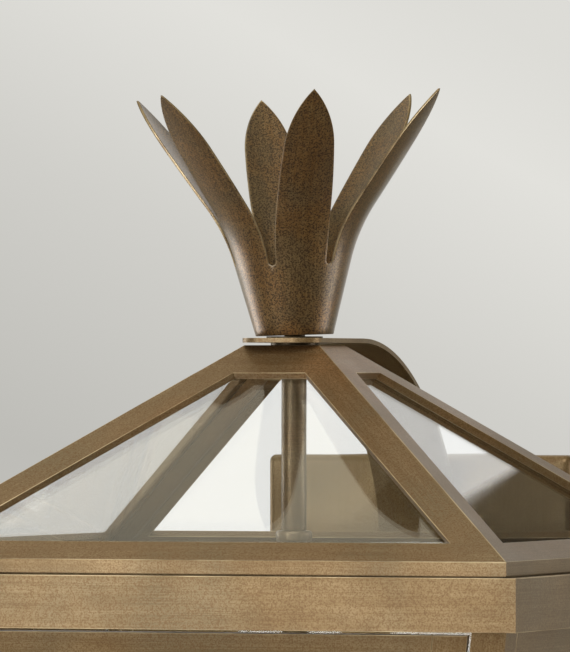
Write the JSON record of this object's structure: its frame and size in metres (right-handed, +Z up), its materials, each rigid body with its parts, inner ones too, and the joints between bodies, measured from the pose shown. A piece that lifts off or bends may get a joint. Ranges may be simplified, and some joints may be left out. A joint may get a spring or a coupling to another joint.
{
  "type": "outdoor wall light",
  "caption": "Wall lantern: tapered glass body, glazed pyramid roof, leaf crown, hinged door, candle lamps, and a flat strap bent down to a wall plate.",
  "frame": {"origin": "on the wall, at the middle of the wall plate and of its mounting bar", "axes": "+X to the right as one faces the lantern, +Y into the wall, +Z up"},
  "size_m": [0.3128, 0.3565, 0.5302],
  "materials": {
    "bronze": "brushed, burnished dark bronze patina",
    "grey_bronze": "aged brass, olive grey patina",
    "turned_brass": "satin aged brass",
    "steel": "zinc plated",
    "glass": "clear, polished",
    "bulb_glass": "clear",
    "candle_white": "matt ivory",
    "holder_plastic": "matt black",
    "rubber": "matt black"
  },
  "bodies": {
    "lantern": {"apex_plate": "turned_brass", "body_panes": "glass", "bottom_plate": "bronze", "bottom_rails": "bronze", "bottom_screws": "turned_brass", "candle_sleeves": "candle_white", "cap_washers": "turned_brass", "centre_rod": "turned_brass", "centre_tube": "turned_brass", "cluster_arms": "turned_brass", "cluster_hub": "turned_brass", "corner_posts": "bronze", "cross_bars": "bronze", "crown_washer": "turned_brass", "door_stops": "bronze", "drip_pans": "turned_brass", "fixture_studs": "steel", "glass_clips": "bronze", "ground_screw": "steel", "hinge_leaves_post": "bronze", "hinge_pins": "turned_brass", "hub_nut": "turned_brass", "lampholder_stems": "turned_brass", "lampholders": "holder_plastic", "lower_tube": "turned_brass", "mounting_bar": "steel", "roof_frame_back": "bronze", "roof_frame_front": "bronze", "roof_frame_left": "bronze", "roof_frame_right": "bronze", "roof_panes": "glass", "roof_rim": "bronze", "strap_arm": "bronze", "strap_nuts": "steel", "strap_screws": "turned_brass", "strap_washer": "turned_brass", "stud_nuts": "steel", "top_rails": "bronze", "tube_collar": "turned_brass", "wall_plate": "bronze", "wire_bushing": "rubber"},
    "crown": {"crown_leaves": "grey_bronze", "crown_nut": "grey_bronze"},
    "door": {"door_frame": "bronze", "door_glass": "glass", "door_glass_clips": "bronze", "hinge_leaves_door": "bronze"},
    "latch": {"latch_knob": "turned_brass", "latch_cam": "turned_brass"},
    "left_cap_nut": {"cap_nut_left": "turned_brass"},
    "right_cap_nut": {"cap_nut_right": "turned_brass"},
    "bulb_1": {"bulb_base_1": "turned_brass", "bulb_glass_1": "bulb_glass"},
    "bulb_2": {"bulb_base_2": "turned_brass", "bulb_glass_2": "bulb_glass"},
    "bulb_3": {"bulb_base_3": "turned_brass", "bulb_glass_3": "bulb_glass"},
    "bulb_4": {"bulb_base_4": "turned_brass", "bulb_glass_4": "bulb_glass"}
  },
  "joints": [
    {"name": "crown_spin", "type": "hinge", "parent": "lantern", "child": "crown", "pos_m": [0, -0.20012, 0.2261], "axis": [0, 0, 1], "continuous": true},
    {"name": "door_hinge", "type": "hinge", "parent": "lantern", "child": "door", "pos_m": [-0.1124, -0.33296, -0.04144], "axis": [0.1511, 0.1511, -0.9769], "range_deg": [0, 110]},
    {"name": "latch_turn", "type": "hinge", "parent": "door", "child": "latch", "pos_m": [0.10639, -0.32947, -0.0392], "axis": [0, -0.9882, -0.1528], "range_deg": [-90, 0]},
    {"name": "left_cap_nut_spin", "type": "hinge", "parent": "lantern", "child": "left_cap_nut", "pos_m": [-0.056, -0.019, 0], "axis": [0, -1, 0], "continuous": true},
    {"name": "right_cap_nut_spin", "type": "hinge", "parent": "lantern", "child": "right_cap_nut", "pos_m": [0.056, -0.019, 0], "axis": [0, -1, 0], "continuous": true},
    {"name": "bulb_1_spin", "type": "hinge", "parent": "lantern", "child": "bulb_1", "pos_m": [0.03677, -0.16335, 0.0127], "axis": [0, 0, 1], "continuous": true},
    {"name": "bulb_2_spin", "type": "hinge", "parent": "lantern", "child": "bulb_2", "pos_m": [-0.03677, -0.16335, 0.0127], "axis": [0, 0, 1], "continuous": true},
    {"name": "bulb_3_spin", "type": "hinge", "parent": "lantern", "child": "bulb_3", "pos_m": [-0.03677, -0.23689, 0.0127], "axis": [0, 0, 1], "continuous": true},
    {"name": "bulb_4_spin", "type": "hinge", "parent": "lantern", "child": "bulb_4", "pos_m": [0.03677, -0.23689, 0.0127], "axis": [0, 0, 1], "continuous": true}
  ]
}
